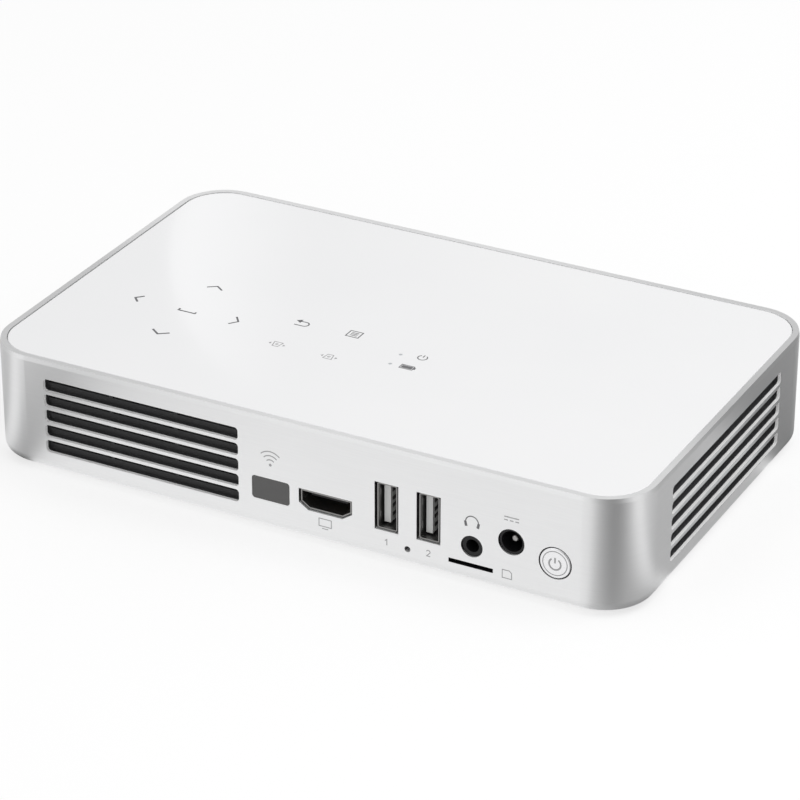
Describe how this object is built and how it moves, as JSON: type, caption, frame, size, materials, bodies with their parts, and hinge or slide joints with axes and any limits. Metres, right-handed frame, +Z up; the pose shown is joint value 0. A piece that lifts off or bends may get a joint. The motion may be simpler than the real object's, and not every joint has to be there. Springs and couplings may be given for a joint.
{
  "type": "pocket projector",
  "caption": "Slim pocket LED projector: a metal band with slotted vents, a glossy touch-control top, rear sockets, a lens with a geared focus wheel, fans, boards and battery.",
  "frame": {"origin": "centre of the footprint, on the surface that the feet stand on", "axes": "+X along the long side, to the right as seen from the socket side; +Y towards the projection lens, so the sockets face -Y; +Z up through the touch top"},
  "size_m": [0.1908, 0.1183, 0.0336],
  "materials": {
    "band_metal": "fine satin, clear anodised, with a bright turned edge",
    "white_gloss": "high gloss white with printed touch symbols",
    "white_matte": "fine spark-eroded texture",
    "foot_rubber": "matt",
    "screw_steel": "zinc plated",
    "insert_brass": "turned",
    "grille_black": "matt black",
    "board_green": "solder mask",
    "socket_steel": "nickel plated sheet",
    "socket_black": "moulded",
    "socket_white": "moulded",
    "contact_metal": "nickel plated",
    "button_metal": "satin with a turned ring",
    "ir_dark": "dark smoked",
    "heatsink_metal": "plain",
    "indicator_clear": "clear light pipe",
    "flex_amber": "polyimide film",
    "pipe_copper": "copper",
    "fan_black": "moulded",
    "engine_cast": "die cast",
    "led_module": "moulded",
    "lens_black": "black anodised",
    "lens_glass": "coated",
    "gear_black": "moulded, fluted rim",
    "bezel_black": "gloss black",
    "battery_wrap": "lithium cells in a laminated aluminium foil wrap"
  },
  "bodies": {
    "housing": {"side_frame": "band_metal", "top_cover": "white_gloss", "bottom_cover": "white_matte", "rubber_feet": "foot_rubber", "case_screws": "screw_steel", "tripod_insert": "insert_brass", "rear_grille": "grille_black", "right_grille": "grille_black", "left_grille": "grille_black", "main_board": "board_green", "board_screws": "screw_steel", "hdmi_shell": "socket_steel", "hdmi_tongue": "socket_black", "usb_shell_1": "socket_steel", "usb_shell_2": "socket_steel", "usb_tongue_1": "socket_white", "usb_tongue_2": "socket_white", "headphone_jack": "socket_black", "dc_jack": "socket_black", "dc_pin": "contact_metal", "card_socket": "socket_steel", "power_switch": "socket_black", "reset_switch": "socket_steel", "ir_window": "ir_dark", "ir_receiver": "socket_black", "processor": "socket_black", "processor_heatsink": "heatsink_metal", "touch_board": "board_green", "indicator_lenses": "indicator_clear", "touch_flex": "flex_amber", "fin_stack": "heatsink_metal", "heat_pipes": "pipe_copper", "fan_frame_1": "fan_black", "fan_frame_2": "fan_black", "engine_housing": "engine_cast", "engine_screws": "screw_steel", "heat_spreader": "pipe_copper", "red_led_module": "led_module", "green_led_module": "led_module", "blue_led_module": "led_module", "dmd_board": "board_green", "ring_clip": "screw_steel", "wheel_bracket": "socket_steel", "wheel_axle": "screw_steel", "lens_bezel": "bezel_black", "battery_pack": "battery_wrap", "speaker_box": "fan_black", "speaker_driver_1": "fan_black", "speaker_driver_2": "fan_black"},
    "power_key": {"power_button": "button_metal", "power_plunger": "socket_black"},
    "reset_key": {"reset_plunger": "socket_black"},
    "rotor_1": {"fan_rotor_1": "fan_black"},
    "rotor_2": {"fan_rotor_2": "fan_black"},
    "wheel": {"focus_wheel": "gear_black"},
    "ring": {"focus_ring": "gear_black"},
    "lens_group": {"lens_barrel": "lens_black", "front_lens": "lens_glass", "rear_lens": "lens_glass", "lens_retainer": "lens_black"}
  },
  "joints": [
    {"name": "power_press", "type": "slide", "parent": "housing", "child": "power_key", "axis": [0, 1, 0], "range_m": [0, 0.0004], "stiffness_N_per_m": 1500, "springref_m": -0.0004},
    {"name": "reset_press", "type": "slide", "parent": "housing", "child": "reset_key", "axis": [0, 1, 0], "range_m": [0, 0.0003], "stiffness_N_per_m": 1000, "springref_m": -0.0004},
    {"name": "fan_spin_1", "type": "hinge", "parent": "housing", "child": "rotor_1", "pos_m": [-0.0603, -0.0365, 0.0155], "axis": [0, 1, 0], "continuous": true},
    {"name": "fan_spin_2", "type": "hinge", "parent": "housing", "child": "rotor_2", "pos_m": [-0.0313, -0.0365, 0.0155], "axis": [0, 1, 0], "continuous": true},
    {"name": "focus_turn", "type": "hinge", "parent": "housing", "child": "wheel", "pos_m": [-0.0828, 0.036, 0.0173], "axis": [0, 1, 0], "range_deg": [-80, 80]},
    {"name": "ring_turn", "type": "hinge", "parent": "housing", "child": "ring", "pos_m": [-0.0596, 0.04, 0.0173], "axis": [0, 1, 0], "range_deg": [-70, 70]},
    {"name": "lens_slide", "type": "slide", "parent": "housing", "child": "lens_group", "axis": [0, 1, 0], "range_m": [-0.0013, 0.0013]}
  ],
  "couplings": [
    {"joint": "ring_turn", "follows": "focus_turn", "ratio": -0.75758},
    {"joint": "lens_slide", "follows": "focus_turn", "m_per_rad": 0.0009}
  ]
}
